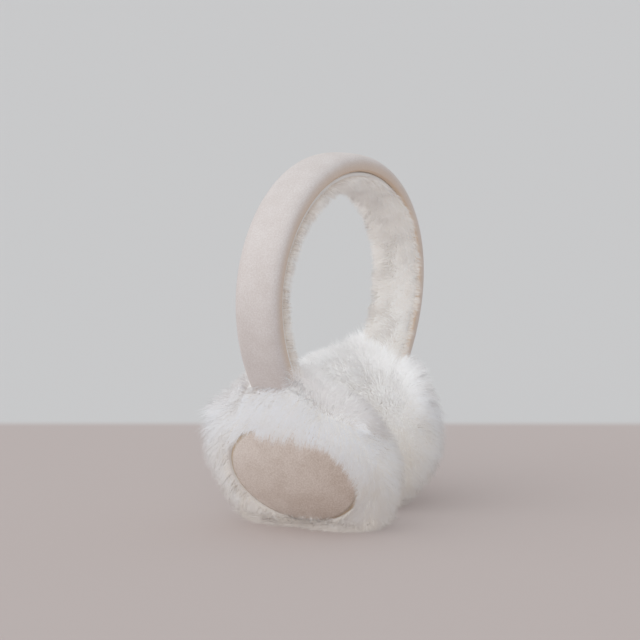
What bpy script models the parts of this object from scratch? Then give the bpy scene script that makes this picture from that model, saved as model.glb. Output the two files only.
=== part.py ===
"""Fur earmuffs that stand on their two cups.

A padded suede headband with a plush lining bends over from cup to cup. Each cup is a pillow
of deep fur with a domed suede oval let into its outer face, and its underside is pressed flat
by what it stands on. The ear-to-ear direction is X, fore and aft is Y, and the left cup of
someone who faces -Y is at +X.
"""

import math

import bmesh
import bpy
import numpy as np
from mathutils import Matrix

# Headband, in metres
TOTAL_HEIGHT = 0.191
BAND_SPREAD = 0.165
WIDEST_HEIGHT = 0.1205
BAND_WIDTH = 0.025
COVER_THICKNESS = 0.0094
COVER_CROWN = 0.0014
COVER_ROUNDING = 0.0024
SEAM_ROUNDING = 0.0012
LINING_THICKNESS = 0.007
LINING_SET_IN = 0.0007
LINING_SWELL = 0.0014
LINING_EDGE_SHARE = 0.25
BAND_AHEAD = 0.003

# Cups, in metres and radians
CUP_LENGTH = 0.109
CUP_HEIGHT = 0.102
CUP_THICKNESS = 0.051
CUP_FULLNESS = 2.6
CUP_LEAN = math.radians(25.6)
CUP_DRIFT = 0.0065
CUP_GAP = 0.001
FOOT_PRESS_SHARE = 0.1225

# Suede ovals, as shares of the cup's face, and the dish in the fur that each lies in
PATCH_LENGTH_SHARE = 0.688
PATCH_HEIGHT_SHARE = 0.588
PATCH_LENGTH = PATCH_LENGTH_SHARE * CUP_LENGTH
PATCH_HEIGHT = PATCH_HEIGHT_SHARE * CUP_HEIGHT
PATCH_THICKNESS = 0.0035
PATCH_DOME = 0.004
PATCH_FULLNESS = 2.4
PATCH_OUT = 0.0127
PATCH_UP = 0.001
DISH_FLARE = 0.006

# Where the headband's ends run into the fur
SEAT_OUT = 0.011
SEAT_DEPTH = 0.011
CLEARANCE = 0.0003

# Locks of fur
CUP_LOCK_RISE = 0.0045
CUP_LOCK_COLUMNS = 24
CUP_LOCK_ROWS = 6
CUP_LOCKS_END = 0.90
LOCK_START_HEIGHT = 0.0035
LOCK_FULL_HEIGHT = 0.0175
LINING_LOCK_RISE = 0.0024
LINING_LOCK_LENGTH = 0.0125
LINING_LOCK_COLUMNS = 4
LEAST_LOCK, MOST_LOCK = 0.7, 1.15

# One lock, root to tip: how far along its row each ring lies, how high the lock's middle and
# its edges stand there as shares of its rise, and how far its middle runs ahead of its edges
LOCK_RINGS = (
    {"along": 0.00, "middle": 0.00, "edge": 0.00, "ahead": 0.00},
    {"along": 0.34, "middle": 0.74, "edge": 0.50, "ahead": 0.02},
    {"along": 0.68, "middle": 1.00, "edge": 0.46, "ahead": 0.10},
    {"along": 0.92, "middle": 0.82, "edge": 0.20, "ahead": 0.30},
)

# How finely the smooth forms are faceted
BAND_SECTIONS = 60
SOCKET_SECTIONS = 12
PATCH_STEPS = 32
DOME_RINGS = 5
ROLL_STEPS = 3
PROFILE_POINTS = 721


def clear_scene():
    for obj in list(bpy.data.objects):
        bpy.data.objects.remove(obj, do_unlink=True)


def collection(name):
    made = bpy.data.collections.new(name)
    bpy.context.scene.collection.children.link(made)
    return made


def material(name, colour, roughness):
    made = bpy.data.materials.new(name)
    made.use_nodes = True
    shader = made.node_tree.nodes["Principled BSDF"]
    shader.inputs["Base Color"].default_value = (*colour, 1.0)
    shader.inputs["Roughness"].default_value = roughness
    shader.inputs["Metallic"].default_value = 0.0
    return made


def suede():
    return material("suede", (0.54, 0.46, 0.40), 0.9)


def fur():
    return material("fur", (0.86, 0.84, 0.80), 1.0)


def plush():
    return material("plush", (0.82, 0.78, 0.72), 1.0)


def object_of(name, mesh, finish, where, parent=None):
    mesh.materials.clear()
    mesh.materials.append(finish)
    made = bpy.data.objects.new(name, mesh)
    where.objects.link(made)
    made.parent = parent
    return made


def helper(made):
    """Marks a cutter or guide, which is no part of the object."""
    made.hide_render = True
    made.display_type = "WIRE"
    return made


def loft(name, rings):
    """A closed mesh through rings of as many points each, with a flat cap or a point at each end."""
    shape = bmesh.new()
    rows = [[shape.verts.new(point) for point in ring] for ring in rings]
    for lower, upper in zip(rows, rows[1:]):
        count = max(len(lower), len(upper))
        for i in range(count):
            j = (i + 1) % count
            corners = (
                lower[i % len(lower)],
                lower[j % len(lower)],
                upper[j % len(upper)],
                upper[i % len(upper)],
            )
            shape.faces.new(list(dict.fromkeys(corners)))
    for end in (rows[0], rows[-1]):
        if len(end) > 2:
            shape.faces.new(end)
    bmesh.ops.triangulate(shape, faces=shape.faces[:])
    bmesh.ops.recalc_face_normals(shape, faces=shape.faces[:])
    mesh = bpy.data.meshes.new(name)
    shape.to_mesh(mesh)
    shape.free()
    return mesh


def lock_ring(part, row, columns, surface, wobble):
    """One ring across a row of locks; the locks of each row sit between those of the row before."""
    ring = []
    for column in range(columns):
        middle = (column + row) % 2 == 0
        height = part["middle"] if middle else part["edge"]
        ahead = part["ahead"] if middle else -part["ahead"] / 2
        ring.append(surface(column, row + part["along"], ahead, height * wobble[row, column]))
    return ring


def lock_rings(rows, columns, surface, seed):
    wobble = np.random.default_rng(seed).uniform(LEAST_LOCK, MOST_LOCK, (rows, columns))
    return [
        lock_ring(part, row, columns, surface, wobble)
        for row in range(rows)
        for part in LOCK_RINGS
    ]


class Pillow:
    """The fur cup's soft form in its own frame: X out of the outer face, Y fore and aft, Z up the face."""

    def __init__(self):
        self.half = (np.array((CUP_THICKNESS, CUP_LENGTH, CUP_HEIGHT)) - CUP_LOCK_RISE) / 2
        turn = np.linspace(0, math.pi, PROFILE_POINTS)
        out, wide = np.cos(turn), np.sin(turn)
        reach = (np.abs(out) ** CUP_FULLNESS + wide**CUP_FULLNESS) ** (-1 / CUP_FULLNESS)
        self.out, self.wide = out * reach, wide * reach
        mean = (self.half[1] + self.half[2]) / 2
        steps = np.hypot(np.diff(self.out) * self.half[0], np.diff(self.wide) * mean)
        self.length = np.concatenate(([0.0], np.cumsum(steps)))

    def start(self, around):
        """How far along its profile the fur begins, at the lip of the dish for the suede oval."""
        flare = DISH_FLARE * (1 + math.sin(around)) / 2
        across = (PATCH_LENGTH / 2 + flare) * math.cos(around)
        up = PATCH_UP + (PATCH_HEIGHT / 2 + flare) * math.sin(around)
        share = math.hypot(across / self.half[1], up / self.half[2])
        front = self.wide.argmax()
        return float(np.interp(share, self.wide[: front + 1], self.length[: front + 1]))

    def point(self, around, along, lift=0.0):
        """The point at an angle about the outward axis, a share of the way from the lip to the back."""
        begin = self.start(around)
        travelled = begin + along * (self.length[-1] - begin)
        out = float(np.interp(travelled, self.length, self.out))
        wide = float(np.interp(travelled, self.length, self.wide))
        unit = np.array((out, wide * math.cos(around), wide * math.sin(around)))
        slope_out = math.copysign(abs(out) ** (CUP_FULLNESS - 1), out)
        slope_wide = wide ** (CUP_FULLNESS - 1)
        normal = np.array(
            (slope_out, slope_wide * math.cos(around), slope_wide * math.sin(around))
        )
        normal = normal / self.half
        normal = normal / np.linalg.norm(normal)
        return unit * self.half + normal * lift

    def outline(self):
        """The plain pillow's profile up and down its middle, from which it is set on the floor."""
        return np.array(
            [
                (out * self.half[0], 0.0, side * wide * self.half[2])
                for out, wide in zip(self.out, self.wide)
                for side in (-1, 1)
            ]
        )


def leaned(points):
    """Points of a cup's own frame turned as the left cup leans, before it is set in its place."""
    sine, cosine = math.sin(CUP_LEAN), math.cos(CUP_LEAN)
    x, y, z = np.asarray(points, float).T
    return np.stack((x * cosine + z * sine, y, z * cosine - x * sine), axis=1)


def cup_centre(pillow):
    """The left cup's middle: its fur just clears the other cup, and is pressed flat on the floor."""
    placed = leaned(pillow.outline())
    inner, lowest = placed[:, 0].min(), placed[:, 2].min()
    return (
        CUP_GAP / 2 + CUP_LOCK_RISE / 2 - inner,
        CUP_DRIFT,
        -lowest - FOOT_PRESS_SHARE * CUP_HEIGHT,
    )


def fur_mesh(pillow, centre):
    columns = 2 * CUP_LOCK_COLUMNS
    angles = [2 * math.pi * i / columns for i in range(columns)]

    def oval(grow, out):
        return [
            (
                out,
                (PATCH_LENGTH / 2 + grow) * math.cos(a),
                (PATCH_HEIGHT / 2 + grow) * math.sin(a) + PATCH_UP,
            )
            for a in angles
        ]

    def surface(column, along, ahead, height):
        row_share = CUP_LOCKS_END / CUP_LOCK_ROWS
        plain = pillow.point(angles[column], along * row_share)
        above = centre[2] + leaned([plain])[0][2]
        fading = LOCK_FULL_HEIGHT - LOCK_START_HEIGHT
        fade = min(1.0, max(0.0, (above - LOCK_START_HEIGHT) / fading))
        share = (along + ahead * fade) * row_share
        return pillow.point(angles[column], share, height * CUP_LOCK_RISE * fade)

    floor = PATCH_OUT - PATCH_THICKNESS - CLEARANCE
    rings = [
        [(floor, 0.0, PATCH_UP)],
        oval(CLEARANCE, floor),
        oval(CLEARANCE, PATCH_OUT),
        *lock_rings(CUP_LOCK_ROWS, columns, surface, seed=11),
        [surface(column, CUP_LOCK_ROWS, 0.0, 0.0) for column in range(columns)],
        [(-pillow.half[0], 0.0, 0.0)],
    ]
    return loft("cup_fur", rings)


def patch_mesh():
    """A domed disc turned from its profile and stretched to the oval."""
    radius = PATCH_LENGTH / 2
    edge = PATCH_THICKNESS / 2
    profile = [(0.0, PATCH_OUT + PATCH_DOME)]
    for share in np.linspace(0, 1, DOME_RINGS + 2)[1:-1]:
        profile.append((radius * share, PATCH_OUT + PATCH_DOME * (1 - share**PATCH_FULLNESS)))
    for turn in np.linspace(0, math.pi, ROLL_STEPS + 1):
        profile.append(
            (radius - edge + edge * math.sin(turn), PATCH_OUT - edge + edge * math.cos(turn))
        )
    profile.append((0.0, PATCH_OUT - PATCH_THICKNESS))
    shape = bmesh.new()
    points = [shape.verts.new((out, 0.0, across)) for across, out in profile]
    for a, b in zip(points, points[1:]):
        shape.edges.new((a, b))
    bmesh.ops.spin(
        shape,
        geom=shape.verts[:] + shape.edges[:],
        axis=(1, 0, 0),
        cent=(0, 0, 0),
        angle=2 * math.pi,
        steps=PATCH_STEPS,
        use_merge=True,
    )
    bmesh.ops.remove_doubles(shape, verts=shape.verts[:], dist=0.00001)
    stretch = Matrix.Diagonal((1.0, 1.0, PATCH_HEIGHT / PATCH_LENGTH, 1.0))
    raised = Matrix.Translation((0.0, 0.0, PATCH_UP))
    bmesh.ops.transform(shape, matrix=raised @ stretch, verts=shape.verts[:])
    bmesh.ops.triangulate(shape, faces=shape.faces[:])
    bmesh.ops.recalc_face_normals(shape, faces=shape.faces[:])
    mesh = bpy.data.meshes.new("cup_patch")
    shape.to_mesh(mesh)
    shape.free()
    return mesh


class Arch:
    """The line along the crown of the headband, from deep in the right cup to deep in the left."""

    def __init__(self, centre):
        seat = leaned([(SEAT_OUT, 0.0, CUP_HEIGHT / 2)])[0]
        end_x, end_z = centre[0] + seat[0], centre[2] + seat[2]
        half = BAND_SPREAD / 2
        drop = WIDEST_HEIGHT - end_z
        slope = 2 * (half - end_x) / drop
        down = np.array((-slope, -1.0)) / math.hypot(slope, 1.0)
        tail = np.array((end_x, end_z)) + np.outer(np.linspace(SEAT_DEPTH, 0, 6)[:-1], down)
        rise = np.linspace(1, 0, 40)[:-1]
        leg = np.stack((half - (half - end_x) * rise**2, WIDEST_HEIGHT - drop * rise), 1)
        turn = np.linspace(0, math.pi / 2, 90)
        top = np.stack(
            (half * np.cos(turn), WIDEST_HEIGHT + (TOTAL_HEIGHT - WIDEST_HEIGHT) * np.sin(turn)), 1
        )
        left = np.concatenate((tail, leg, top))
        right = left[-2::-1] * (-1, 1)
        self.line = np.concatenate((left, right))[::-1]
        steps = np.linalg.norm(np.diff(self.line, axis=0), axis=1)
        self.travelled = np.concatenate(([0.0], np.cumsum(steps)))
        self.length = float(self.travelled[-1])
        self.tangent = np.gradient(self.line, self.travelled, axis=0)

    def frame(self, distance):
        """The point at a distance along the arch, and the directions along it and into the arch."""
        point = np.array([np.interp(distance, self.travelled, self.line[:, i]) for i in (0, 1)])
        along = np.array([np.interp(distance, self.travelled, self.tangent[:, i]) for i in (0, 1)])
        along = along / np.linalg.norm(along)
        return point, along, np.array((along[1], -along[0]))

    def place(self, distance, across, inward):
        point, _, into = self.frame(distance)
        x, z = point + into * inward
        return (x, across - BAND_AHEAD, z)


def arc(centre, radius, first, last, steps):
    turns = np.radians(np.linspace(first, last, steps + 1))
    return [(centre[0] + radius * math.cos(t), centre[1] + radius * math.sin(t)) for t in turns]


def band_section(width, thickness, grow=0.0):
    """A D-shaped section, as distances across the band and in from its crown."""
    half = width / 2 + grow
    round_out, round_in = COVER_ROUNDING + grow, SEAM_ROUNDING
    inner = thickness + grow
    shoulder = COVER_CROWN - grow + round_out
    crown = [
        (across * (half - round_out), -grow + COVER_CROWN * across**2)
        for across in np.linspace(-1, 1, DOME_RINGS + 2)[1:-1]
    ]
    return [
        *arc((-half + round_out, shoulder), round_out, 180, 270, ROLL_STEPS),
        *crown,
        *arc((half - round_out, shoulder), round_out, 270, 360, ROLL_STEPS),
        *arc((half - round_in, inner - round_in), round_in, 0, 90, 2),
        *arc((-half + round_in, inner - round_in), round_in, 90, 180, 2),
    ]


def sweep(name, arch, section, distances):
    rings = [[arch.place(d, across, inward) for across, inward in section] for d in distances]
    return loft(name, rings)


def cover_mesh(arch):
    section = band_section(BAND_WIDTH, COVER_THICKNESS)
    return sweep("headband_cover", arch, section, np.linspace(0, arch.length, BAND_SECTIONS))


def lining_mesh(arch):
    """The plush strip: a flat backing to the cover, and locks all over the side to the head."""
    rows = round(arch.length / LINING_LOCK_LENGTH)
    columns = 2 * LINING_LOCK_COLUMNS + 1
    back = COVER_THICKNESS + CLEARANCE
    half = BAND_WIDTH / 2 - LINING_SET_IN
    still = SEAT_DEPTH / arch.length * rows

    def surface(column, along, ahead, height):
        turn = math.pi * column / (columns - 1)
        bulge = math.sqrt(math.sin(turn))
        swell = LINING_SWELL * math.sin(turn) ** 2
        across = -(half + swell) * math.cos(turn)
        fade = max(0.0, min(1.0, along / still - 1, (rows - along) / still - 1))
        along = along + ahead * fade
        lift = height * LINING_LOCK_RISE * fade
        share = LINING_EDGE_SHARE + (1 - LINING_EDGE_SHARE) * bulge
        inward = back + LINING_THICKNESS * share + lift
        return arch.place(along / rows * arch.length, across, inward)

    rings = lock_rings(rows, columns, surface, seed=5)
    rings.append([surface(column, rows, 0.0, 0.0) for column in range(columns)])
    finished = []
    for index, ring in enumerate(rings):
        row, part = divmod(index, len(LOCK_RINGS))
        along = (row + LOCK_RINGS[part]["along"]) / rows * arch.length
        corners = [arch.place(along, half, back), arch.place(along, -half, back)]
        finished.append(ring + corners)
    return loft("headband_lining", finished)


def socket_mesh(arch, end, towards):
    """What a cup's fur leaves open for one end of the headband, a clearance wider all round."""
    thickness = COVER_THICKNESS + CLEARANCE + LINING_THICKNESS
    section = band_section(BAND_WIDTH, thickness, grow=CLEARANCE)
    reach = SEAT_DEPTH + CUP_HEIGHT / 3
    distances = np.linspace(end - towards * reach, end, SOCKET_SECTIONS)
    rings = [[arch.place(d, across, inward) for across, inward in section] for d in distances]
    _, along, _ = arch.frame(end)
    step = np.array((along[0], 0.0, along[1])) * CLEARANCE * towards
    rings.append([tuple(np.array(point) + step) for point in rings[-1]])
    return loft("socket", rings)


def cut(target, cutter):
    modifier = target.modifiers.new("cut_" + cutter.name, "BOOLEAN")
    modifier.operation = "DIFFERENCE"
    modifier.solver = "EXACT"
    modifier.object = cutter


def floor_cutter(where):
    """A block under the floor line, which leaves the fur flat where it stands."""
    shape = bmesh.new()
    bmesh.ops.create_cube(shape, size=1.0)
    size = (2 * BAND_SPREAD, 2 * CUP_LENGTH, 2 * CUP_HEIGHT)
    bmesh.ops.scale(shape, vec=size, verts=shape.verts[:])
    bmesh.ops.translate(shape, vec=(0, 0, -CUP_HEIGHT), verts=shape.verts[:])
    mesh = bpy.data.meshes.new("floor")
    shape.to_mesh(mesh)
    shape.free()
    return helper(object_of("floor_cutter", mesh, fur(), where))


def main():
    clear_scene()
    parts = collection("fur_earmuffs")
    cutters = collection("cutters")
    pillow = Pillow()
    centre = cup_centre(pillow)
    arch = Arch(centre)
    suede_finish, fur_finish, plush_finish = suede(), fur(), plush()
    object_of("headband_cover", cover_mesh(arch), suede_finish, parts)
    object_of("headband_lining", lining_mesh(arch), plush_finish, parts)
    fur_shape, patch_shape = fur_mesh(pillow, centre), patch_mesh()
    floor = floor_cutter(cutters)
    for side, half_turn, end, towards in (
        ("left", 0.0, arch.length, 1),
        ("right", math.pi, 0.0, -1),
    ):
        frame = bpy.data.objects.new(side + "_cup_frame", None)
        parts.objects.link(frame)
        about = Matrix.Rotation(half_turn, 4, "Z")
        frame.matrix_world = (
            about @ Matrix.Translation(centre) @ Matrix.Rotation(CUP_LEAN, 4, "Y")
        )
        cup = object_of(side + "_cup_fur", fur_shape, fur_finish, parts, frame)
        object_of(side + "_cup_patch", patch_shape, suede_finish, parts, frame)
        socket = socket_mesh(arch, end, towards)
        cut(cup, helper(object_of(side + "_socket", socket, fur_finish, cutters)))
        cut(cup, floor)


main()
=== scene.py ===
# %% [markdown]
# # Fur earmuffs
# Two plump cups of deep white fur stand on the floor, joined by a padded suede headband with
# a plush lining. Each cup carries a domed suede oval on its outer face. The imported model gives
# the forms and their places; this lesson dresses them in nap, pile and fur. The cloudy values
# that comb the fur start from the clock unless they get a seed, so they get one here, and every
# run grows the same hairs.

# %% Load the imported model
import math

import bpy
import numpy as np
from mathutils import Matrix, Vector
from mathutils.kdtree import KDTree
from mathutils.noise import noise_vector, seed_set


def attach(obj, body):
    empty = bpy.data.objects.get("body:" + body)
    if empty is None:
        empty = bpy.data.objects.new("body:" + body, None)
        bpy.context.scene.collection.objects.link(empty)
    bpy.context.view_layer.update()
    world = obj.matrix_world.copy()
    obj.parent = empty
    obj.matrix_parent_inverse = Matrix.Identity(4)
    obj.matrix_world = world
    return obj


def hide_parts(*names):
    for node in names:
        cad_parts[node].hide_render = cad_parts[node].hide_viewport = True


NOISE_SEED = 11
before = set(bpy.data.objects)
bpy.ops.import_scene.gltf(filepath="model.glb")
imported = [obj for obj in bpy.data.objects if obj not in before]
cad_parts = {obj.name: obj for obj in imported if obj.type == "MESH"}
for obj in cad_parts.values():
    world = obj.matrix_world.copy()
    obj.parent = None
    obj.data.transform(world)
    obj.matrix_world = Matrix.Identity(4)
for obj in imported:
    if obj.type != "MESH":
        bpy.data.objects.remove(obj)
seed_set(NOISE_SEED)
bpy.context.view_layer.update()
print("nodes:", ", ".join(sorted(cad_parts)))

# %% [markdown]
# ## The sizes
# The looks use the same sizes as the solids, so each piece lies exactly where its solid does.
# Lengths are in metres. The wearer's left cup is at +X and each cup is the other one turned
# half round, so only one of them is described, in its own frame: X out of its outer face, Y
# fore and aft, Z up its lean.

# %% Sizes of the headband and the cups
TOTAL_HEIGHT, BAND_SPREAD, WIDEST_HEIGHT = 0.191, 0.165, 0.1205
BAND_WIDTH, BAND_AHEAD = 0.025, 0.003
COVER_THICKNESS, COVER_ROLL, COVER_FULLNESS, SEAM_ROUNDING = 0.0094, 0.0064, 2.8, 0.0014
LINING_THICKNESS = 0.007
CUP_HALF = np.array((0.02325, 0.05225, 0.04875))
CUP_FULLNESS, CUP_LEAN = 2.6, math.radians(25.6)
CUP_CENTRE = np.array((0.03495, 0.0065, 0.03388))
FOOT_CENTRE = np.array((0.0228, 0.0065, 0.0))
PATCH_LENGTH, PATCH_HEIGHT, PATCH_THICKNESS = 0.075, 0.060, 0.0035
PATCH_OUT, PATCH_UP, PATCH_DOME, PATCH_FULLNESS = 0.0127, 0.001, 0.004, 2.4
SEAT_OUT, SEAT_DEPTH, CUP_HEIGHT, CLEARANCE = 0.011, 0.011, 0.102, 0.0003
DOWN = np.array((0.0, 0.0, -1.0))
print("headband", BAND_SPREAD, "m across,", TOTAL_HEIGHT, "m tall")

# %% [markdown]
# ## Shader sums as Python sums
# A finish is easier to read as a formula than as a row of nodes. A small class holds one
# output of a node and turns + - * / into Math nodes, also with a plain number on the left.
# Every other node comes from one method, which sets the node up and then joins its inputs.

# %% A value that flows through a finish
class Flow:
    def __init__(self, finish, socket):
        self.finish, self.socket = finish, socket

    def sum_with(self, operation, first, second):
        return self.finish.node("Math", {"operation": operation}, {0: first, 1: second})

    def __add__(self, other):
        return self.sum_with("ADD", self, other)

    __radd__ = __add__

    def __mul__(self, other):
        return self.sum_with("MULTIPLY", self, other)

    __rmul__ = __mul__

    def __sub__(self, other):
        return self.sum_with("SUBTRACT", self, other)

    def __rsub__(self, other):
        return self.sum_with("SUBTRACT", other, self)


# %% A finish that is built up node by node
class Finish:
    def __init__(self, name):
        self.material = bpy.data.materials.new(name)
        self.material.use_nodes = True
        self.tree = self.material.node_tree
        self.shader = self.tree.nodes["Principled BSDF"]

    def node(self, kind, settings=None, inputs=None, output=0):
        made = self.tree.nodes.new("ShaderNode" + kind)
        for name, value in (settings or {}).items():
            setattr(made, name, value)
        for key, value in (inputs or {}).items():
            self.feed(made.inputs[key], value)
        return Flow(self, made.outputs[output])

    def feed(self, socket, value):
        if isinstance(value, Flow):
            self.tree.links.new(value.socket, socket)
        else:
            socket.default_value = value

    def place(self):
        return self.node("TexCoord", output="Object")

    def noise(self, size, detail, roughness=0.5):
        """Cloudy values about 0.5 in spots of a size in metres."""
        inputs = {"Vector": self.place(), "Scale": 1 / size}
        inputs.update({"Detail": detail, "Roughness": roughness})
        return self.node("TexNoise", {"noise_dimensions": "3D"}, inputs)

    def between(self, low, high, value):
        """0 at low, 1 at high, and a soft change between them."""
        inputs = {"Value": value, "From Min": low, "From Max": high}
        return self.node("MapRange", {"interpolation_type": "SMOOTHSTEP"}, inputs)

    def blend(self, share, first, second):
        inputs = {"Factor": share, 6: first, 7: second}
        return self.node("Mix", {"data_type": "RGBA"}, inputs, output=2)

    def marked(self, name):
        """A value kept on the points of the mesh."""
        return self.node("Attribute", {"attribute_name": name}, output="Fac")

    def set(self, **constants):
        for name, value in constants.items():
            self.shader.inputs[name.replace("_", " ")].default_value = value

    def relief(self, height, depth, strength):
        inputs = {"Height": height, "Distance": depth, "Strength": strength}
        bump = self.node("Bump", {}, inputs)
        self.tree.links.new(bump.socket, self.shader.inputs["Normal"])


def colour(red, green, blue):
    """A colour given as a screen shows it, 0 to 255, as the light it stands for."""
    steps = np.array((red, green, blue)) / 255
    light = np.where(steps <= 0.04045, steps / 12.92, ((steps + 0.055) / 1.055) ** 2.4)
    return (*(float(v) for v in light), 1.0)


print("shader sums are ready")

# %% [markdown]
# ## Meshes from arrays
# Fur has tens of thousands of hairs, far too many to make one by one. Working out every point
# as an array and handing the arrays to Blender in one go takes a blink instead of minutes.

# %% Meshes and pieces
def mesh_of(name, points, faces, **marks):
    """A mesh from points and faces of one kind, with values to keep on its points."""
    mesh = bpy.data.meshes.new(name)
    faces = np.asarray(faces, np.int32)
    mesh.vertices.add(len(points))
    mesh.vertices.foreach_set("co", np.asarray(points, np.float32).ravel())
    mesh.loops.add(faces.size)
    mesh.loops.foreach_set("vertex_index", faces.ravel())
    mesh.polygons.add(len(faces))
    starts = np.arange(0, faces.size, faces.shape[1], dtype=np.int32)
    mesh.polygons.foreach_set("loop_start", starts)
    mesh.update(calc_edges=True)
    for mark, values in marks.items():
        layer = mesh.attributes.new(mark, "FLOAT", "POINT")
        layer.data.foreach_set("value", np.asarray(values, np.float32).ravel())
    mesh.shade_smooth()
    return mesh


def piece_of(name, mesh, finish, stands_for=()):
    """Sets a mesh in the scene as one piece of the object, in its finish."""
    made = bpy.data.objects.new(name, mesh)
    bpy.context.scene.collection.objects.link(made)
    mesh.materials.append(finish.material)
    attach(made, "root")
    if stands_for:
        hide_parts(*stands_for)
    faces = sum(len(face.vertices) - 2 for face in mesh.polygons)
    print(name, "has", faces, "triangles")
    return made


def wrapped_grid(rows, columns):
    """Faces of a grid of points whose last column joins its first."""
    here = np.arange(rows * columns).reshape(rows, columns)
    right = np.roll(here, -1, axis=1)
    quads = np.stack((here[:-1], right[:-1], right[1:], here[1:]), axis=-1)
    return quads.reshape(-1, 4)


def unit(vectors):
    return vectors / np.maximum(np.linalg.norm(vectors, axis=-1, keepdims=True), 1e-12)


print("meshes can be made from arrays")

# %% [markdown]
# ## The line of the headband
# A flat spring bends the headband into an arch that is widest above the ears and turns in to
# hold the cups. The arch is one line in the upright plane from ear to ear: half an ellipse over
# the crown, a parabola down each leg, and a straight end deep in each cup's fur.

# %% The arch
TAIL_STEPS, LEG_STEPS, CROWN_STEPS = 12, 80, 180


def leaned(points):
    sine, cosine = math.sin(CUP_LEAN), math.cos(CUP_LEAN)
    x, y, z = np.moveaxis(np.asarray(points, float), -1, 0)
    return np.stack((x * cosine + z * sine, y, z * cosine - x * sine), axis=-1)


def arch_line():
    seat = leaned((SEAT_OUT, 0.0, CUP_HEIGHT / 2))
    end_x, end_z = CUP_CENTRE[0] + seat[0], CUP_CENTRE[2] + seat[2]
    half, drop = BAND_SPREAD / 2, WIDEST_HEIGHT - end_z
    slope = 2 * (half - end_x) / drop
    down = np.array((-slope, -1.0)) / math.hypot(slope, 1.0)
    tail = np.array((end_x, end_z)) + np.outer(np.linspace(SEAT_DEPTH, 0, TAIL_STEPS)[:-1], down)
    rise = np.linspace(1, 0, LEG_STEPS)[:-1]
    leg = np.stack((half - (half - end_x) * rise**2, WIDEST_HEIGHT - drop * rise), 1)
    turn = np.linspace(0, math.pi / 2, CROWN_STEPS)
    height = WIDEST_HEIGHT + (TOTAL_HEIGHT - WIDEST_HEIGHT) * np.sin(turn)
    left = np.concatenate((tail, leg, np.stack((half * np.cos(turn), height), 1)))
    return np.concatenate((left, left[-2::-1] * (-1, 1)))[::-1]


ARCH = arch_line()
TRAVELLED = np.concatenate(([0.0], np.cumsum(np.linalg.norm(np.diff(ARCH, axis=0), axis=1))))
ARCH_LENGTH = float(TRAVELLED[-1])
ARCH_TANGENT = np.gradient(ARCH, TRAVELLED, axis=0)


def on_arch(distance, across, inward):
    """Points at distances along the arch, across the band, and in from its crown."""
    x, z = (np.interp(distance, TRAVELLED, ARCH[:, i]) for i in (0, 1))
    tx, tz = (np.interp(distance, TRAVELLED, ARCH_TANGENT[:, i]) for i in (0, 1))
    size = np.hypot(tx, tz)
    place = (x + tz / size * inward, across - BAND_AHEAD, z - tx / size * inward)
    return np.stack(np.broadcast_arrays(*place), axis=-1)


print("the headband is", round(ARCH_LENGTH, 4), "m long")

# %% [markdown]
# ## The suede finish
# The cover is a napped faux suede, matt and fine. Seen close it is a dense velvet of tiny
# fibres: faint cloudy patches where the nap lies one way or the other, a grain finer than a
# millimetre, and a soft glow at grazing angles. The mesh marks the band's side edges, the fold
# by the lining and the oval's rolled rim for a painted shade of deeper tan. It also marks a
# share of painted light and shade: a half on the band, and across each oval from a pale lit end
# to a deep shaded one.

# %% Suede
CLOUD_SIZE, GRAIN_SIZE, NAP_DEPTH = 0.011, 0.0008, 0.00022
CLOUD_SHARE, FIBRE_SHARE, PAINTED_LIGHT_SHARE = 0.20, 0.50, 0.40
ROUGHNESS, ROUGHER_CLOUDS = 0.82, 0.14


def suede(name, pale, deep, tight, sheen):
    finish = Finish(name)
    clouds = finish.between(0.3, 0.7, finish.noise(CLOUD_SIZE, detail=3.0))
    grain = finish.noise(GRAIN_SIZE, detail=3.0, roughness=0.7)
    fibre = finish.between(0.32, 0.72, grain)
    # Painted light and shade: the larger this marked share, the paler the suede.
    brushed = finish.marked("brushed")
    share = clouds * CLOUD_SHARE + fibre * FIBRE_SHARE + brushed * PAINTED_LIGHT_SHARE
    shade = finish.blend(share, deep, pale)
    # Painted shade: a deeper tan where the mesh marks the edges.
    shade = finish.blend(finish.marked("tight"), shade, tight)
    finish.feed(finish.shader.inputs["Base Color"], shade)
    finish.feed(finish.shader.inputs["Roughness"], ROUGHNESS + ROUGHER_CLOUDS * clouds)
    finish.set(Specular_IOR_Level=0.18, Sheen_Weight=sheen, Sheen_Roughness=0.45)
    finish.set(Sheen_Tint=(1.0, 0.95, 0.90, 1.0))
    finish.relief(grain, NAP_DEPTH, strength=0.55)
    return finish


band_suede = suede(
    "band_suede", colour(230, 226, 225), colour(206, 197, 193), colour(219, 197, 175), 0.22
)
patch_suede = suede(
    "patch_suede", colour(231, 222, 215), colour(189, 171, 158), colour(194, 173, 147), 0.30
)
print("suede finishes are ready")

# %% [markdown]
# ## The cover
# Foam under the suede makes the outer face full and its edges soft, and the cloth is turned in
# where it meets the lining. A section with many points is carried along the arch. A cloth
# simulation would swell such a slim pad evenly, which is the crowned section drawn here.

# %% The cover's section and sweep
SECTION_POINTS, FOLD_STEPS, BAND_STEPS = 49, 5, 241
EDGE_SHADE_DEPTHS, EDGE_SHADE_SHARES = (0.30, 0.70, 0.86, 0.92), (0.0, 0.55, 0.65, 1.0)
# An even share of painted light: the band gets no painted gradient, and it is the oval's middle
# value.
EVEN_PAINTED_LIGHT = 0.5


def quarter(centre, radius, first, last, steps):
    turns = np.radians(np.linspace(first, last, steps + 1))
    return np.stack((centre[0] + radius * np.cos(turns), centre[1] + radius * np.sin(turns)), 1)


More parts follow.
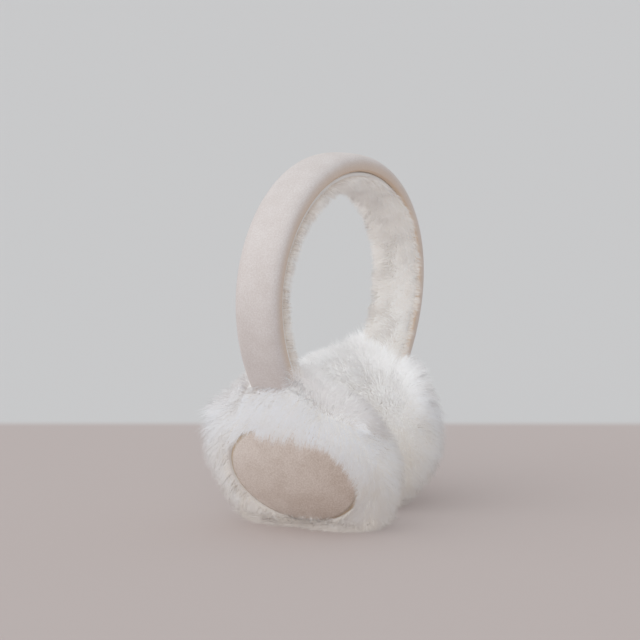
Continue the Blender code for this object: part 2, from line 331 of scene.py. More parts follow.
def cover_section():
    half, fold = BAND_WIDTH / 2, SEAM_ROUNDING
    turns = np.radians(np.linspace(180, 360, SECTION_POINTS))
    across, inward = np.cos(turns), np.abs(np.sin(turns))
    across = half * np.sign(across) * np.abs(across) ** (2 / COVER_FULLNESS)
    inward = COVER_ROLL * (1 - inward ** (2 / COVER_FULLNESS))
    low = COVER_THICKNESS - fold
    return np.concatenate(
        (
            np.stack((across, inward), 1),
            quarter((half - fold, low), fold, 0, 90, FOLD_STEPS),
            quarter((-half + fold, low), fold, 90, 180, FOLD_STEPS),
        )
    )


def cover_mesh():
    section = cover_section()
    distances = np.linspace(0, ARCH_LENGTH, BAND_STEPS)
    points = on_arch(distances[:, None], section[None, :, 0], section[None, :, 1])
    depth = section[:, 1] / COVER_THICKNESS
    # Painted shade: the deeper a point lies in the section, on the side edges and in the fold by
    # the lining, the deeper the tan.
    tight = np.interp(depth, EDGE_SHADE_DEPTHS, EDGE_SHADE_SHARES) * np.ones((len(distances), 1))
    marks = {"tight": tight, "brushed": np.full(tight.size, EVEN_PAINTED_LIGHT)}
    faces = wrapped_grid(*points.shape[:2])
    return mesh_of("cover", points.reshape(-1, 3), faces[:, ::-1], **marks)


cover = piece_of(
    "headband_cover_suede", cover_mesh(), band_suede, ["headband_cover"]
)

# %% [markdown]
# ## The suede ovals
# Each oval is a small pad of the same suede, a tone deeper, domed by its filling and finished
# with a fine rolled edge, with a shallow groove just inside it. Rings of points from the middle
# out follow the dome and the roll.

# %% The ovals
DOME_STEPS, ROLL_STEPS, OVAL_AROUND = 29, 9, 129
GROOVE_DEPTH, GROOVE_AT, GROOVE_WIDTH = 0.00045, 0.955, 0.012
RIM_STARTS, RIM_FADE, RIM_SHADE = 0.95, 0.04, 0.9
PAINTED_LIGHT_ACROSS, PAINTED_LIGHT_UP = 0.55, 0.35


def to_cup(points, side):
    """From a cup's own frame, X out of its outer face, to its place beside the headband."""
    placed = leaned(points) + CUP_CENTRE
    return placed if side == "left" else placed * (-1, -1, 1)


def patch_profile():
    edge = PATCH_THICKNESS / 2
    share = np.linspace(0.0, 1.0, DOME_STEPS)[1:-1]
    radius = PATCH_LENGTH / 2
    dome = np.stack((radius * share, PATCH_OUT + PATCH_DOME * (1 - share**PATCH_FULLNESS)), 1)
    dome[:, 1] -= GROOVE_DEPTH * np.exp(-(((share - GROOVE_AT) / GROOVE_WIDTH) ** 2))
    roll = quarter((radius - edge, PATCH_OUT - edge), edge, 80, -90, ROLL_STEPS)
    return np.concatenate((dome, roll)), np.concatenate((share, np.full(len(roll), 1.0)))


def patch_mesh(side):
    profile, share = patch_profile()
    around = np.linspace(0, 2 * math.pi, OVAL_AROUND)[:-1]
    across = profile[:, 0, None] * np.cos(around)
    up = profile[:, 0, None] * np.sin(around) * PATCH_HEIGHT / PATCH_LENGTH + PATCH_UP
    out = np.broadcast_to(profile[:, 1, None], across.shape)
    rings = np.stack((out, across, up), -1)
    middle = np.array([[PATCH_OUT + PATCH_DOME, 0.0, PATCH_UP]])
    back = np.array([[PATCH_OUT - PATCH_THICKNESS, 0.0, PATCH_UP]])
    count = len(around)
    points = np.concatenate((rings.reshape(-1, 3), middle, back))
    quads = wrapped_grid(*rings.shape[:2])
    first = np.arange(count)
    last = first + rings.shape[0] * count - count
    top, bottom = len(points) - 2, len(points) - 1
    fan = [np.stack((np.full(count, top), np.roll(first, -1), first), 1)]
    fan.append(np.stack((np.full(count, bottom), last, np.roll(last, -1)), 1))
    triangles = np.concatenate((quads[:, [0, 1, 2]], quads[:, [0, 2, 3]], *fan))
    # Painted shade: a deeper tan round the oval's rolled rim.
    tight = np.clip((share - RIM_STARTS) / RIM_FADE, 0, 1)
    tight = RIM_SHADE * np.concatenate((np.repeat(tight, count), (0.0, 1.0)))
    # Painted light: the oval is paler towards its -Y end and its top, and deeper towards its +Y
    # end and its bottom.
    brushed = EVEN_PAINTED_LIGHT - PAINTED_LIGHT_ACROSS * points[:, 1] / (PATCH_LENGTH / 2)
    brushed = brushed + PAINTED_LIGHT_UP * points[:, 2] / (PATCH_HEIGHT / 2)
    points = to_cup(points, side)
    return mesh_of("oval_" + side, points, triangles, tight=tight, brushed=brushed)


for side in ("left", "right"):
    oval = piece_of(
        side + "_cup_oval_suede", patch_mesh(side), patch_suede, [side + "_cup_patch"]
    )

# %% [markdown]
# ## The fur finish
# Faux fur is a thick pile of fine white fibres. Down at the roots and low on the cups it has a
# painted shade, darker and creamier, where less light comes back out. It has no shine to speak
# of, and light passes from hair to hair, so the hairs are very pale and nearly matt. Each hair
# has its own slight tone. The mesh marks the crests, where the fur faces the sky, for a painted
# highlight, whitest of all. Right at the floor the fur gets a painted shade. The cloth under the
# hairs is the palest of all, because a hair seen from behind takes its light from what lies
# under it.

# %% Fur
CREST_LIGHT, FLOOR_SHADE = colour(250, 251, 252), colour(190, 180, 172)
LOW_SHADE_HEIGHT, FLOOR_SHADE_FROM, FLOOR_SHADE_TO, FUR_CLOUD_SIZE = 0.07, 0.001, 0.008, 0.016
WARM_IN_CLOUDS, WARM_BY_TONE, LOW_SHADE = 0.15, 0.25, 0.40
COOL_AT_CREST, FLOOR_SHADE_SHARE = 0.8, 0.5


def furry(name, tip, root, warm):
    finish = Finish(name)
    # Painted shade: darker and creamier towards the roots.
    along = finish.between(0.0, 0.5, finish.marked("along"))
    shade = finish.blend(along, root, tip)
    height = finish.node("SeparateXYZ", {}, {0: finish.place()}, output="Z")
    # Painted shade: warmer and deeper low on the cups.
    low = 1 - finish.between(0.0, LOW_SHADE_HEIGHT, height)
    clouds = finish.between(0.42, 0.75, finish.noise(FUR_CLOUD_SIZE, detail=2.0))
    # Painted highlight: the crests, which face the sky, are whiter.
    crest = finish.marked("crest")
    tone = finish.marked("tone")
    share = clouds * WARM_IN_CLOUDS + tone * WARM_BY_TONE + low * LOW_SHADE
    share = share * (1 - COOL_AT_CREST * crest)
    shade = finish.blend(crest, shade, CREST_LIGHT)
    shade = finish.blend(share, shade, warm)
    # Painted shade right at the floor.
    floor_shade = FLOOR_SHADE_SHARE * (1 - finish.between(FLOOR_SHADE_FROM, FLOOR_SHADE_TO, height))
    shade = finish.blend(floor_shade, shade, FLOOR_SHADE)
    finish.feed(finish.shader.inputs["Base Color"], shade)
    finish.set(Roughness=0.85, Specular_IOR_Level=0.15, Sheen_Weight=0.15, Sheen_Roughness=0.6)
    return finish


cup_fur = furry("cup_fur", colour(227, 230, 236), colour(218, 214, 211), colour(216, 205, 191))
plush = furry("plush", colour(236, 233, 230), colour(228, 221, 213), colour(228, 219, 209))
under_fur = furry(
    "under_fur", colour(236, 236, 236), colour(236, 235, 233), colour(226, 219, 211)
)
print("fur finishes are ready")

# %% [markdown]
# ## Growing hair
# A hair is a narrow ribbon of three lengths that tapers to a point. It leaves the backing
# upright, bends over and then lies the way the fur is combed. Hairs near each other lean
# together in tufts, as real fur does, so each one follows the leader of its tuft more and more
# towards its tip. A pelt scatters light among its hairs until it is shaded like one soft form,
# so a hair that lies flat is shaded as the surface under it, and an upright one as itself. For
# the same reason the hairs don't shade each other: real fibres let most of the light through.

# %% Ribbons from paths
TAPER = np.array((1.0, 0.92, 0.62))
POINTS_A_HAIR, TWIST = 7, 0.35
CREST_TURNED, CREST_TURN_FADE, CREST_HEIGHT, CREST_HEIGHT_FADE = 0.45, 0.4, 0.03, 0.02


def ribbons(name, paths, width, look, facing, tone, seed):
    """One mesh of flat tapered hairs: look is the way of their flat sides, facing the pelt's."""
    chance = np.random.default_rng(seed)
    steps = np.gradient(paths, axis=1)
    flat = unit(np.cross(steps, look[:, None]))
    lift = unit(np.cross(flat, steps))
    twist = chance.normal(0, TWIST, (len(paths), 1, 1))
    sideways = (flat * np.cos(twist) + lift * np.sin(twist))[:, :3]
    half = (width[:, None] * TAPER / 2)[..., None]
    edges = np.stack((paths[:, :3] - sideways * half, paths[:, :3] + sideways * half), 2)
    points = np.concatenate((edges.reshape(len(paths), 6, 3), paths[:, 3:]), 1)
    one = np.array(((0, 1, 3), (0, 3, 2), (2, 3, 5), (2, 5, 4), (4, 5, 6)))
    faces = (np.arange(len(paths))[:, None, None] * POINTS_A_HAIR + one).reshape(-1, 3)
    along = np.tile((0, 0, 1 / 3, 1 / 3, 2 / 3, 2 / 3, 1), len(paths))
    # The crests that face the sky are marked for a painted highlight.
    crest = np.clip((facing[:, 2] - CREST_TURNED) / CREST_TURN_FADE, 0, 1)
    crest = crest * np.clip((paths[:, 0, 2] - CREST_HEIGHT) / CREST_HEIGHT_FADE, 0, 1)
    tone, crest = (np.repeat(mark, POINTS_A_HAIR) for mark in (tone, crest))
    mesh = mesh_of(name, points.reshape(-1, 3), faces, along=along, tone=tone, crest=crest)
    own = unit(np.cross(sideways, steps[:, :3]))
    own = np.concatenate((np.repeat(own, 2, axis=1), own[:, 2:]), 1)
    flat = np.abs(np.sum(own * facing[:, None], axis=2, keepdims=True))
    soft = unit(own * (1 - flat) + facing[:, None] * flat)
    mesh.normals_split_custom_set_from_vertices(soft.reshape(-1, 3))
    return mesh


print("a hair is a ribbon of", POINTS_A_HAIR, "points")

# %% Tufts
FEWEST_TUFTS, LEAST_PULL, TUFT_BEND = 8, 0.5, 1.4


def tufted(roots, paths, spacing, pull, seed):
    """Draws each hair towards the leader of its tuft, more so at its tip."""
    chance = np.random.default_rng(seed)
    count = max(FEWEST_TUFTS, int(len(roots) / spacing))
    leaders = chance.choice(len(roots), count, replace=False)
    tree = KDTree(len(leaders))
    for index, leader in enumerate(leaders):
        tree.insert(roots[leader], index)
    tree.balance()
    nearest = np.array([leaders[tree.find(root)[1]] for root in roots])
    share = np.linspace(0, 1, paths.shape[1]) ** TUFT_BEND
    strength = chance.uniform(LEAST_PULL, 1.0, len(roots))[nearest] * pull
    keep = 1 - strength[:, None, None] * share[None, :, None]
    return paths[nearest] + (paths - paths[nearest]) * keep


# %% [markdown]
# ## The form of a cup
# A cup is a pillow, fullest round its rim. The formula that rounds it, a power a little above
# two in place of the circle's square, also gives the way out of its surface at any point, which
# is all that combing needs. The backing lies a few millimetres inside the fur's outer form.
# Close under the fur it also sends light back out between the hairs, so the pelt looks bright.
# Real cups aren't quite alike: each pillow is slack low down at its -Y end, and the left one at
# its shoulder there too. Round the headband's end the pelt is pushed up.

# %% The cup's pillow
SKIN_DEPTH = 0.0045
SKIN_HALF = CUP_HALF - SKIN_DEPTH
OVAL_BED, OVAL_BEVEL, BACKING_LIFT, BACKING_SHARE = 0.0012, 0.030, 0.0030, 0.985
SLACK_CORNER = {"left": 0.16, "right": 0.03}
SLACK_SHOULDER = {"left": 0.22, "right": 0.0}
BAND_SIDE = {"left": (-0.0220, 0.0030), "right": (-0.0160, 0.0090)}
COLLAR_FADE, COLLAR_FOOT = 0.014, 0.02
COLLAR_OUTER, COLLAR_INNER = (0.0135, 0.016), (0.0050, 0.022)
COLLAR_STARTS, INSIDE_RIM, SEAT_POINTS = 0.01, 0.01, 60
UPWARD = np.array((-math.sin(CUP_LEAN), 0.0, math.cos(CUP_LEAN)))


def pillow_points(around, turn, half):
    out, wide = np.cos(turn), np.sin(turn)
    reach = (np.abs(out) ** CUP_FULLNESS + wide**CUP_FULLNESS) ** (-1 / CUP_FULLNESS)
    shape = (out * reach, wide * reach * np.cos(around), wide * reach * np.sin(around))
    return np.stack(np.broadcast_arrays(*shape), -1) * half


def pillow_outward(points, half):
    x, y, z = np.moveaxis(points / half, -1, 0)
    wide = np.maximum(np.hypot(y, z), 1e-6) ** (CUP_FULLNESS - 2)
    steep = np.sign(x) * np.abs(x) ** (CUP_FULLNESS - 1)
    return unit(np.stack((steep, wide * y, wide * z), -1) / half)


def beyond_oval(points):
    """How far points of the cup lie outside the suede oval's rim, as a share of its size."""
    across = points[..., 1] / (PATCH_LENGTH / 2)
    up = (points[..., 2] - PATCH_UP) / (PATCH_HEIGHT / 2)
    return np.where(points[..., 0] > 0, np.hypot(across, up) - 1, 1.0)


def band_face(height):
    """How far out the headband's outer face stands at heights up the cup, in the cup's frame."""
    tail = ARCH[-SEAT_POINTS:] - (CUP_CENTRE[0], CUP_CENTRE[2])
    sine, cosine = math.sin(CUP_LEAN), math.cos(CUP_LEAN)
    x, z = tail[:, 0] * cosine - tail[:, 1] * sine, tail[:, 0] * sine + tail[:, 1] * cosine
    order = np.argsort(z)
    return np.interp(height, z[order], x[order])


def collar_rise(points, side):
    """How far the pelt is pushed up round the headband's end, before it and behind it."""
    low, high = BAND_SIDE[side]
    beside = np.minimum(points[..., 1] - low, high - points[..., 1]) / COLLAR_FADE + 1
    above = np.clip((points[..., 2] - COLLAR_FOOT) / COLLAR_STARTS, 0, 1)
    depth = COVER_THICKNESS + LINING_THICKNESS
    out = points[..., 0] - band_face(points[..., 2])
    rise = np.interp(-out / depth, (0, 1), (COLLAR_OUTER[0], COLLAR_INNER[0]))
    rise = rise * np.clip(1 - out / COLLAR_OUTER[1], 0, 1)
    rise = rise * np.clip(1 + (out + depth) / COLLAR_INNER[1], 0, 1)
    return np.clip(beside, 0, 1) * above * rise


def skin_points(around, turn, side):
    """The backing cloth, slack at one end, up at the headband and in at the oval's rim."""
    points = pillow_points(around, turn, SKIN_HALF)
    share = np.clip(-points / SKIN_HALF, 0, 1)
    upper = np.clip(points[..., 2] / SKIN_HALF[2], 0, 1)
    slack = SLACK_CORNER[side] * share[..., 2] + SLACK_SHOULDER[side] * upper
    points = points * (1 - slack * share[..., 1])[..., None]
    points[..., 2] += collar_rise(points, side)
    beyond = beyond_oval(points)
    bed = PATCH_OUT - np.where(beyond < INSIDE_RIM, PATCH_THICKNESS / 2, OVAL_BED)
    highest = bed + OVAL_BEVEL * np.maximum(beyond, 0)
    points[..., 0] = np.minimum(points[..., 0], highest)
    return points


print("half sizes of a backing, m:", [round(float(v), 4) for v in SKIN_HALF])

# %% The cups' backings
BACKING_AROUND, BACKING_ALONG, NEAR_POLE = 145, 91, 0.02
CREST_STARTS, CREST_FADE = 0.5, 0.4


def backing_mesh(side):
    """The cloth that the fur is rooted in, pressed in behind the oval and flat on the floor."""
    around = np.linspace(0, 2 * math.pi, BACKING_AROUND)[:-1]
    turn = np.linspace(NEAR_POLE, math.pi - NEAR_POLE, BACKING_ALONG)
    points = skin_points(around[None, :], turn[:, None], side) * BACKING_SHARE
    placed = to_cup(points, side).reshape(-1, 3)
    placed[:, 2] = np.maximum(placed[:, 2], BACKING_LIFT)
    quads = wrapped_grid(len(turn), len(around))
    ends = [np.arange(len(around))[::-1], np.arange(len(around)) + len(around) * (len(turn) - 1)]
    middles = np.array([placed[end].mean(0) for end in ends])
    fans = [
        np.stack((np.full(len(end), len(placed) + i), np.roll(end, 1), end), 1)
        for i, end in enumerate(ends)
    ]
    triangles = np.concatenate((quads[:, [0, 2, 1]], quads[:, [0, 3, 2]], *fans))
    # The backing under the crests is marked for the same painted highlight.
    upper = pillow_outward(points.reshape(-1, 3), SKIN_HALF) @ UPWARD
    crest = np.append(np.clip((upper - CREST_STARTS) / CREST_FADE, 0, 1), (0.0, 0.0))
    points = np.concatenate((placed, middles))
    blank = np.zeros(len(points))
    marks = {"along": blank, "tone": blank, "crest": crest}
    return mesh_of("backing_" + side, points, triangles, **marks)


for side in ("left", "right"):
    backing = piece_of(
        side + "_cup_backing", backing_mesh(side), under_fur, [side + "_cup_fur"]
    )

# %% [markdown]
# ## Combing the cups
# The long fur hangs down under its own weight and spreads a little away from the suede oval. At
# the top it stands up round the headband's end, above the oval it falls over the edge of the
# suede, and underneath it is pressed out on the floor. Each hair takes three steps, and at each
# step it looks up the way out of the pillow and the way down along it. Round the oval a table
# of angles, with 0 at its +Y end and 90 at its top, says how far the fur leans in over the
# rim, and another one how long the fringe over it is.

# %% Roots of the hairs
CANDIDATES, LOW_DENSITY, BARE_RIM, SMALL_STEP = 8, 2.5, 0.006, 1e-4


def spread_roots(count, side, chance):
    """Roots all over the backing, evenly, but closer together low on the outer face."""
    turn = chance.uniform(NEAR_POLE, math.pi - NEAR_POLE, CANDIDATES * count)
    around = chance.uniform(0, 2 * math.pi, CANDIDATES * count)
    here = skin_points(around, turn, side)
    smooth = pillow_points(around, turn, SKIN_HALF)
    down = (pillow_points(around, turn + SMALL_STEP, SKIN_HALF) - smooth) / SMALL_STEP
    along = (pillow_points(around + SMALL_STEP, turn, SKIN_HALF) - smooth) / SMALL_STEP
    share = np.clip(smooth / SKIN_HALF * (1, 1, -1), 0, 1)
    low = 1 + LOW_DENSITY * share[:, 0] * share[:, 2]
    area = np.linalg.norm(np.cross(down, along), axis=1) * low
    kept = here[chance.uniform(0, area.max(), len(area)) < area]
    return kept[beyond_oval(kept) > BARE_RIM][:count]


print("roots lie up to", 1 + LOW_DENSITY, "times as close low on the outer face")

# %% The lie of the fur
SPREAD_ACROSS, SPREAD = (-0.8, 0.0, 0.8), (0.30, 0.15, 0.05)
TOP_STARTS, NEAR_RIM, SWIRL, RUFFLE, STIFFNESS = 0.6, 0.35, 0.75, 0.9, 0.4
LEAN_IN_ANGLES = (-180, -150, -60, -25, 10, 50, 110, 140, 165, 175, 180)
LEAN_IN = (0.5, 0.1, 0.5, 1.5, 1.6, 0.3, 0.0, 1.5, 1.9, 1.2, 0.5)


def combed(points, swirl):
    """The way out of the cup at some points, and the way the fur lies there."""
    away = unit(points * (0, 1, 1) - (0, 0, PATCH_UP))
    across = points[:, 1:2] / (PATCH_LENGTH / 2)
    spread = np.interp(across, SPREAD_ACROSS, SPREAD)
    outward = pillow_outward(points, SKIN_HALF)
    upper = np.clip((outward @ UPWARD - TOP_STARTS) / (1 - TOP_STARTS), 0, 1)[:, None]
    outward = unit(outward + UPWARD * upper)
    around = np.degrees(np.arctan2(points[:, 2] - PATCH_UP, points[:, 1]))
    near = np.clip(1 - beyond_oval(points) / NEAR_RIM, 0, 1) * (points[:, 0] > 0)
    spread[:, 0] -= near * np.interp(around, LEAN_IN_ANGLES, LEAN_IN)
    ruffled = near * np.clip(-2 * points[:, 2] / (PATCH_HEIGHT / 2), 0, 1)
    comb = away * spread - UPWARD + swirl * (SWIRL + RUFFLE * ruffled)[:, None]
    comb = comb - outward * np.sum(comb * outward, axis=1, keepdims=True)
    return outward, comb / (np.linalg.norm(comb, axis=1, keepdims=True) + STIFFNESS)


print("the fur leans in most at", LEAN_IN_ANGLES[LEAN_IN.index(max(LEAN_IN))], "degrees")

# %% The length of the fur
HAIR_LENGTH, SHORTEST, LONGEST = 0.0100, 0.70, 1.15
TRIM_REACH, TRIM_SHARE = 0.24, 0.38
TRIM_LEVEL, TRIM_UP, TRIM_ACROSS, TRIM_FOOT = 0.25, 1.2, 0.1, 5.0
OVER_ACROSS = (-1.0, -0.85, -0.60, -0.30, -0.10, 0.45, 0.75, 1.0)
OVER = (0.90, 0.55, -0.05, -0.15, 0.62, 0.50, -0.20, 0.0)


def trimmed(roots, chance):
    """Hair lengths: short beside and under the suede oval, longest in the fringe over it."""
    across = roots[:, 1] / (PATCH_LENGTH / 2)
    up = (roots[:, 2] - PATCH_UP) / (PATCH_HEIGHT / 2)
    edge = np.clip(beyond_oval(roots) / TRIM_REACH, 0, 1)
    beside = np.clip(TRIM_LEVEL - TRIM_UP * up - TRIM_ACROSS * across, 0, 1)
    beside = beside * np.clip(TRIM_FOOT + TRIM_FOOT * up, 0, 1)
    over = np.clip(up, 0, 1) * (roots[:, 0] > 0)
    over = over * np.interp(across, OVER_ACROSS, OVER)
    length = HAIR_LENGTH * (1 - TRIM_SHARE * beside * (1 - edge)) * (1 + over)
    return length * chance.uniform(SHORTEST, LONGEST, len(roots))


print("the fur is about", HAIR_LENGTH, "m long")

# %% Room for the headband
OFF_FACE, WALL_GAP, WALL_FUZZ = 0.001, 0.0004, 0.0008


def round_band(roots, paths, side, chance):
    """Leaves the headband's end its room, and leans the hairs beside it against its faces."""
    low, high = BAND_SIDE[side]
    depth = COVER_THICKNESS + LINING_THICKNESS
    face = band_face(roots[:, 2])
    within = (roots[:, 1] > low) & (roots[:, 1] < high) & (roots[:, 2] > COLLAR_FOOT)
    under = within & (roots[:, 0] < face - OFF_FACE) & (roots[:, 0] > face - depth)
    outside = (within & (roots[:, 0] >= face - OFF_FACE))[:, None]
    crossing = (paths[..., 1] > low) & (paths[..., 1] < high) & (paths[..., 2] > COLLAR_FOOT)
    wall = band_face(paths[..., 2]) + WALL_GAP + chance.uniform(0, WALL_FUZZ, (len(roots), 1))
    pushed = np.where(outside & crossing, np.maximum(paths[..., 0], wall), paths[..., 0])
    paths = np.concatenate((pushed[..., None], paths[..., 1:]), -1)
    return ~under, paths


print("room for the headband's end, m:", COVER_THICKNESS + LINING_THICKNESS, "deep")

# %% Hairs of a cup
UPRIGHT = (1.00, 0.80, 0.50)
FLOWING = (0.30, 0.65, 0.90)
SWIRLS_A_METRE, OWN_WAY = 90, 0.20
SMALL_TUFT, SMALL_PULL, LARGE_TUFT, LARGE_PULL = 11, 0.42, 160, 0.15
RIDGE_STARTS, RIDGE_FADE, RIDGE_LOOK = 0.45, 0.3, (3.0, 0.0, 0.0)


def hairs_of_cup(side, count, seed):
    """Paths of hairs, the way their flat sides look, and the way the pelt faces there."""
    chance = np.random.default_rng(seed)
    roots = spread_roots(count, side, chance)
    shift = Vector((seed, 0, 0))
    swirls = np.array([noise_vector(Vector(root) * SWIRLS_A_METRE + shift) for root in roots])
    swirls = swirls + chance.normal(0, OWN_WAY, swirls.shape)
    length = trimmed(roots, chance)
    path = [roots]
    for upright, flowing in zip(UPRIGHT, FLOWING):
        outward, comb = combed(path[-1], swirls)
        way = unit(outward * upright + comb * flowing)
        path.append(path[-1] + way * (length / 3)[:, None])
    paths = tufted(roots, np.stack(path, 1), SMALL_TUFT, SMALL_PULL, seed + 1)
    paths = tufted(roots, paths, LARGE_TUFT, LARGE_PULL, seed + 2)
    shown, paths = round_band(roots, paths, side, chance)
    roots, paths = roots[shown], paths[shown]
    facing = pillow_outward(roots, SKIN_HALF)
    ridge = np.clip((facing @ UPWARD - RIDGE_STARTS) / RIDGE_FADE, 0, 1) * np.sign(roots[:, 0])
    look = facing + ridge[:, None] * RIDGE_LOOK
    look, facing = (to_cup(way, side) - to_cup(way * 0, side) for way in (look, facing))
    return to_cup(paths, side), look, facing, chance


print("a hair takes", len(UPRIGHT), "steps")

# %% [markdown]
# ## Fur on the floor
# Under its own weight a cup presses its lowest fur flat, and the hairs that would go through
# the floor fan out over it from the middle of the foot, in ragged tufts. Their flat sides turn
# up as they lie down. The two cups nearly touch, and each keeps its hairs on its own side.

# %% The floor under the cups
LEAST_REST, REST_TO_TIP, HAIR_GAP = 0.0020, 0.0022, 0.0003
TUFTS_A_METRE, TUFT_LEVEL, TUFT_CONTRAST = 300, 0.35, 2.2
FOOT_WAY, LIFT, TUFT_LIFT, PUSH, TUFT_PUSH = (1, 0.25, 0), 0.3, 1.5, 0.35, 1.6
PUSH_UNDER, MOST_SPREAD, LAID_AT = 0.55, 0.0085, 0.004
LAID_OUT, LAID_UP = 0.6, (0, 0, 0.8)


def settle(placed, ways, side, chance):
    """Spreads hairs out on the floor in ragged tufts and keeps each cup's fur on its side."""
    rest = LEAST_REST + REST_TO_TIP * np.linspace(0, 1, placed.shape[1])
    tuft = np.array([noise_vector(Vector(tip) * TUFTS_A_METRE)[0] for tip in placed[:, 3]])
    tuft = np.clip(TUFT_LEVEL + TUFT_CONTRAST * tuft, 0, 1)
    lift = (LIFT + TUFT_LIFT * tuft) * chance.uniform(0, 1, len(placed))
    depth = np.maximum(0, HAIR_GAP + lift[:, None] * rest - placed[..., 2])
    under = depth[:, :1]
    centre = FOOT_CENTRE * (1 if side == "left" else -1)
    away = unit((placed - centre) * FOOT_WAY)
    push = PUSH + TUFT_PUSH * tuft
    spread = PUSH_UNDER * under + push[:, None] * (depth - under)
    spread = np.minimum(spread, MOST_SPREAD)
    placed = placed + away * spread[..., None]
    placed[..., 2] += depth
    inner = 1 if side == "left" else -1
    placed[..., 0] = inner * np.maximum(inner * placed[..., 0], HAIR_GAP)
    laid = np.clip(depth[:, 3] / LAID_AT, 0, 1)[:, None]
    top = away[:, 3] * LAID_OUT + LAID_UP
    return placed, [way * (1 - laid) + top * laid for way in ways]


print("hairs fan out on the floor by up to", MOST_SPREAD, "m")

# %% [markdown]
# ## The cups' fur
# Each cup has two pieces of fur that interleave, so that no mesh grows too large. Hairs whose
# tips lie close together share a tone, and those on the side towards the head are a little
# warmer.

# %% The cups' fur
STREAK_SIZE, STREAK_CONTRAST, OWN_TONE, INNER_TONE = 0.004, 0.7, 0.15, 1.3
HAIRS_A_PIECE, HAIR_WIDTH, THINNEST, THICKEST = 34500, 0.00022, 0.7, 1.2
FIRST_SEED = {"left": 20, "right": 60}


def streaks(tips, chance):
    """A tone for each hair, much alike among tips that lie close together."""
    clouds = np.array([noise_vector(Vector(tip) / STREAK_SIZE)[0] for tip in tips])
    own = chance.normal(0, OWN_TONE, len(tips))
    return np.clip(0.5 + STREAK_CONTRAST * clouds + own, 0, 1)


def let_light_through(piece):
    piece.visible_diffuse = False
    piece.visible_shadow = False


for side in ("left", "right"):
    for number in (1, 2):
        seed = FIRST_SEED[side] + 7 * number
        placed, look, facing, chance = hairs_of_cup(side, HAIRS_A_PIECE, seed)
        placed, (look, facing) = settle(placed, (look, facing), side, chance)
        width = HAIR_WIDTH * chance.uniform(THINNEST, THICKEST, len(placed))
        inward = facing[:, 0] * (-1 if side == "left" else 1)
        tone = streaks(placed[:, 3], chance) + INNER_TONE * np.clip(inward, 0, 1)
        name = f"{side}_cup_fur_{number}"
        hairs = ribbons(name, placed, width, look, facing, tone, seed + 3)
        let_light_through(piece_of(name, hairs, cup_fur))

# %% [markdown]
# ## The plush lining
# A strip of short dense plush lines the side towards the head. It is a low padded ridge, and
# its pile stands straight out with tips that turn every way, so a few of them lap over the seam
# of the cover and make its edge uneven.

# %% The lining's backing
LINING_RIDGE, LINING_INSET, LINING_LIFT = 0.0044, 0.0016, 0.0006
LINING_STEPS, RIDGE_POINTS = 181, 15


def lining_points(distance, turn, lift=0.0):
    """Points over the ridge, from one edge of the strip at turn 0 to the other at pi."""
    half = BAND_WIDTH / 2 - LINING_INSET
    across = -(half + lift) * np.cos(turn)
    ridge = (LINING_RIDGE + lift) * np.sqrt(np.maximum(np.sin(turn), 0))
    return on_arch(distance, across, COVER_THICKNESS + CLEARANCE + LINING_LIFT + ridge)


def lining_mesh():
    distances = np.linspace(0, ARCH_LENGTH, LINING_STEPS)[:, None]
    turn = np.linspace(0, math.pi, RIDGE_POINTS)[None, :]
    top = lining_points(distances, turn)
    half = BAND_WIDTH / 2 - LINING_INSET
    under = np.array(((half, half * 0.5, 0.0, -half * 0.5, -half),))
    flat = on_arch(distances, under, COVER_THICKNESS + CLEARANCE)
    points = np.concatenate((top, flat), 1)
    faces = wrapped_grid(*points.shape[:2])
    blank = np.zeros(points.shape[0] * points.shape[1])
    return mesh_of("lining", points.reshape(-1, 3), faces, along=blank, tone=blank)


lining = piece_of(
    "headband_lining_backing", lining_mesh(), under_fur, ["headband_lining"]
)

# %% The lining's pile
PILE_LENGTH, PILE_HAIRS, PILE_SEED = 0.0052, 35500, 91
PILE_STEPS = ((1.0, 0.25), (0.9, 0.6), (0.5, 0.9))
BAND_END, PILE_SIDE, EDGE_SHARE, EDGE_TURN, MIDDLE_TURN = 0.003, 0.995, 0.2, 0.08, 1.57
CLUMPS_A_METRE, CLUMP_LEAN, OWN_LEAN, SAG = 110, 0.9, 0.22, 0.25
CROWN_STARTS, CROWN_FADE, CROWN_LONGER = 0.72, 0.2, 0.35
PILE_TUFT, PILE_PULL = 9, 0.3


def pile(count, seed):
    """Paths of the pile: denser at the strip's edges and a little longer under the crown."""
    chance = np.random.default_rng(seed)
    distance = chance.uniform(BAND_END, ARCH_LENGTH - BAND_END, count)
    turn = np.arccos(chance.uniform(-PILE_SIDE, PILE_SIDE, count))
    edge = chance.uniform(0, 1, count) < EDGE_SHARE
    nearest = np.where(turn < MIDDLE_TURN, EDGE_TURN, math.pi - EDGE_TURN)
    turn = np.where(edge, nearest, turn)
    roots = lining_points(distance, turn)
    outward = unit(lining_points(distance, turn, 0.001) - roots)
    clump = np.array([noise_vector(Vector(root) * CLUMPS_A_METRE) for root in roots])
    lean = clump * CLUMP_LEAN + chance.normal(0, OWN_LEAN, roots.shape) + DOWN * SAG
    crown = np.clip((roots[:, 2] / TOTAL_HEIGHT - CROWN_STARTS) / CROWN_FADE, 0, 1)
    length = PILE_LENGTH * (1 + CROWN_LONGER * crown)
    length = length * chance.uniform(SHORTEST, LONGEST, count)
    path = [roots]
    for upright, flowing in PILE_STEPS:
        step = unit(outward * upright + lean * flowing)
        path.append(path[-1] + step * (length / 3)[:, None])
    paths = tufted(roots, np.stack(path, 1), PILE_TUFT, PILE_PULL, seed + 1)
    return paths, outward, chance


paths, facing, chance = pile(PILE_HAIRS, PILE_SEED)
width = HAIR_WIDTH * chance.uniform(THINNEST, THICKEST, len(paths))
tone = streaks(paths[:, 3], chance)
hairs = ribbons("headband_lining_pile", paths, width, facing, facing, tone, PILE_SEED + 1)
let_light_through(piece_of("headband_lining_pile", hairs, plush))

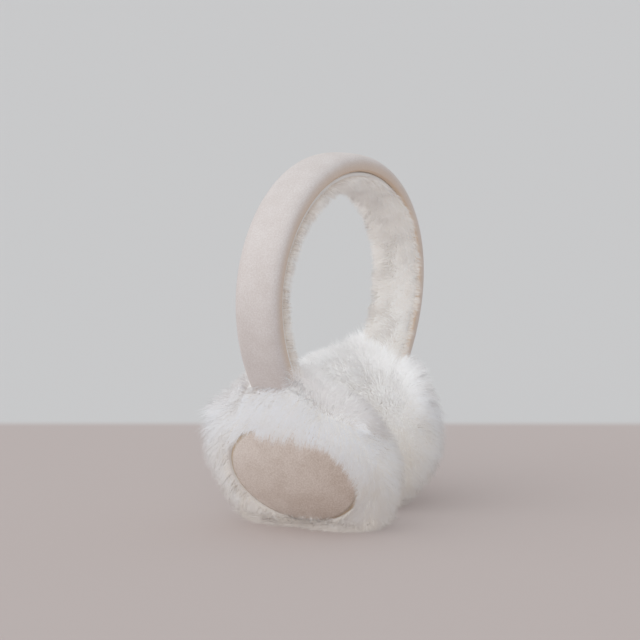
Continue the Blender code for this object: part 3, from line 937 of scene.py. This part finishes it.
# %% [markdown]
# ## Camera
# The view is from a little above the floor, turned well round to one side, through a long lens
# that hardly foreshortens. These values were found by laying the solids over the photograph.

# %% The camera
VIEW_TURN, VIEW_DOWN, VIEW_DISTANCE = math.radians(60.579), math.radians(8.745), 1.9338
VIEW_HEIGHT, VIEW_PAN, FOCAL_PIXELS, IMAGE_PIXELS = 0.4005, -0.0021, 3733.0, 640
SENSOR_WIDTH = 36.0


def aim_camera():
    data = bpy.data.cameras.new("camera")
    camera = bpy.data.objects.new("camera", data)
    bpy.context.scene.collection.objects.link(camera)
    data.sensor_width = SENSOR_WIDTH
    data.lens = FOCAL_PIXELS / IMAGE_PIXELS * SENSOR_WIDTH
    data.clip_start, data.clip_end = 0.05, 50.0
    back = (-VIEW_DISTANCE * math.sin(VIEW_TURN), -VIEW_DISTANCE * math.cos(VIEW_TURN))
    camera.location = (*back, VIEW_HEIGHT)
    yaw = VIEW_TURN + VIEW_PAN
    ahead = Vector((math.sin(yaw), math.cos(yaw), -math.tan(VIEW_DOWN)))
    camera.rotation_euler = ahead.to_track_quat("-Z", "Y").to_euler()
    bpy.context.scene.camera = camera
    return camera


camera = aim_camera()
print("camera lens, mm:", round(camera.data.lens, 1))

# %% [markdown]
# ## Floor and light
# A plain matt floor fades from a warm grey under the earmuffs to a pale grey further back. Soft
# daylight comes from the upper left: a wide sun for the direction, a weaker one that skims the
# floor to fill what is turned away from it, and an even pale sky for the rest.

# %% The floor
FLOOR_LINE, FLOOR_FADE, FLOOR_HALF = 0.262, 0.012, 9.0


def floor_finish():
    finish = Finish("floor")
    across = finish.node("SeparateXYZ", {}, {0: finish.place()}, output="X")
    ahead = finish.node("SeparateXYZ", {}, {0: finish.place()}, output="Y")
    depth = across * math.sin(VIEW_TURN) + ahead * math.cos(VIEW_TURN)
    share = finish.between(FLOOR_LINE - FLOOR_FADE, FLOOR_LINE + FLOOR_FADE, depth)
    shade = finish.blend(share, colour(198, 188, 185), colour(215, 215, 215))
    finish.feed(finish.shader.inputs["Base Color"], shade)
    finish.set(Roughness=0.9, Specular_IOR_Level=0.1)
    return finish


def lay_floor():
    half = FLOOR_HALF
    corners = [(-half, -half, 0), (half, -half, 0), (half, half, 0), (-half, half, 0)]
    floor = bpy.data.objects.new("floor", mesh_of("floor", corners, [(0, 1, 2, 3)]))
    floor.data.materials.append(floor_finish().material)
    bpy.context.scene.collection.objects.link(floor)


lay_floor()

# %% The light
SKY_STRENGTH = 0.66


def sun(name, strength, spread, towards):
    """A sun of a strength, as wide as its spread in degrees, that shines one way."""
    data = bpy.data.lights.new(name, "SUN")
    data.energy, data.angle, data.color = strength, math.radians(spread), (1.0, 0.99, 0.975)
    lamp = bpy.data.objects.new(name, data)
    bpy.context.scene.collection.objects.link(lamp)
    lamp.rotation_euler = towards.to_track_quat("-Z", "Y").to_euler()


def light_scene():
    world = bpy.data.worlds.new("sky")
    world.use_nodes = True
    sky = world.node_tree.nodes["Background"]
    sky.inputs["Color"].default_value = (0.97, 0.98, 1.0, 1.0)
    sky.inputs["Strength"].default_value = SKY_STRENGTH
    bpy.context.scene.world = world
    right = Vector((math.cos(VIEW_TURN), -math.sin(VIEW_TURN), 0))
    ahead = Vector((math.sin(VIEW_TURN), math.cos(VIEW_TURN), 0))
    steep = right * 0.60 + ahead * 0.55 + Vector((0, 0, -0.50))
    shallow = right * 0.75 + ahead * 0.65 + Vector((0, 0, -0.05))
    sun("daylight", strength=1.08, spread=110, towards=steep)
    sun("fill", strength=0.34, spread=70, towards=shallow)
    bpy.context.scene.view_settings.view_transform = "Standard"
    bpy.context.scene.view_settings.look = "None"


light_scene()
print("light and floor are ready")
